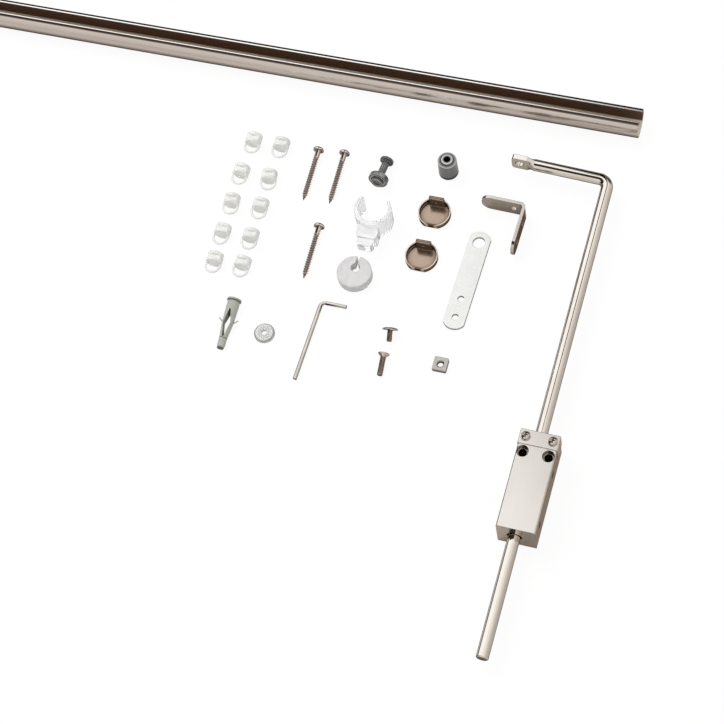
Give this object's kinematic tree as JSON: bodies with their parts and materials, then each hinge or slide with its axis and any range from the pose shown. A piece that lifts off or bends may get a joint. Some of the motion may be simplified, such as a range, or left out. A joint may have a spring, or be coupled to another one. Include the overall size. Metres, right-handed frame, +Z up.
{
  "type": "rising curtain rod kit",
  "caption": "Slotted curtain rail with a swing-and-lift rod in its cam housing, and the gliders, caps, clips, brackets, screws and tools of its kit laid out flat.",
  "frame": {"origin": "centre of the lift housing's back face, on the surface that the kit lies on", "axes": "+X along the rail towards its end near the arm, +Y from the housing towards the rail, +Z up from the surface"},
  "size_m": [1.0021, 0.3996, 0.0289],
  "materials": {
    "satin_nickel": "satin",
    "bronzed_nickel": "satin",
    "screw_nickel": "bright",
    "roller_grey": "gloss",
    "sleeve_grey": "satin",
    "clear_plastic": "clear",
    "milky_plastic": "milky",
    "plate_nickel": "satin",
    "bracket_nickel": "satin",
    "plug_plastic": "matt",
    "key_steel": "black oxide",
    "zinc_steel": "zinc",
    "cam_plastic": "matt",
    "bush_brass": "turned",
    "housing_nickel": "satin",
    "glider_plastic": "translucent white"
  },
  "bodies": {
    "root": {"rail": "satin_nickel", "end_cap_1": "bronzed_nickel", "end_cap_2": "bronzed_nickel", "wood_screws": "screw_nickel", "roller_axle": "roller_grey", "spacer_sleeve": "sleeve_grey", "rail_clip": "clear_plastic", "split_collar": "milky_plastic", "strap_plate": "plate_nickel", "angle_bracket": "bracket_nickel", "wall_plug": "plug_plastic", "screw_button": "clear_plastic", "hex_key": "key_steel", "mushroom_screw": "screw_nickel", "countersunk_screw": "screw_nickel", "square_nut": "zinc_steel", "cam_sleeve": "cam_plastic", "lift_housing": "housing_nickel", "housing_back_plate": "housing_nickel", "bearing_cap": "housing_nickel", "bearing_bush": "bush_brass", "cap_screws": "screw_nickel", "cap_washers": "zinc_steel", "side_set_screws": "key_steel", "glider_01": "glider_plastic", "glider_02": "glider_plastic", "glider_03": "glider_plastic", "glider_04": "glider_plastic", "glider_05": "glider_plastic", "glider_06": "glider_plastic", "glider_07": "glider_plastic", "glider_08": "glider_plastic", "glider_09": "glider_plastic", "glider_10": "glider_plastic"},
    "slider": {"lift_slider": "bush_brass"},
    "rod": {"lift_rod": "satin_nickel", "rod_collars": "zinc_steel", "cam_pin": "zinc_steel"},
    "wheel": {"roller_wheel": "roller_grey"}
  },
  "joints": [
    {"name": "arm_lift", "type": "slide", "parent": "root", "child": "slider", "axis": [0.0061, 1, 0], "range_m": [0, 0.012]},
    {"name": "arm_swivel", "type": "hinge", "parent": "slider", "child": "rod", "pos_m": [-0.00122, -0.00344, 0.013], "axis": [0.0061, 1, 0], "range_deg": [0, 120]},
    {"name": "wheel_spin", "type": "hinge", "parent": "root", "child": "wheel", "pos_m": [-0.15349, 0.1993, 0.00692], "axis": [0.0864, 0.9876, -0.1309], "continuous": true}
  ],
  "couplings": [
    {"joint": "arm_lift", "follows": "arm_swivel", "m_per_rad": 0.0057296}
  ]
}
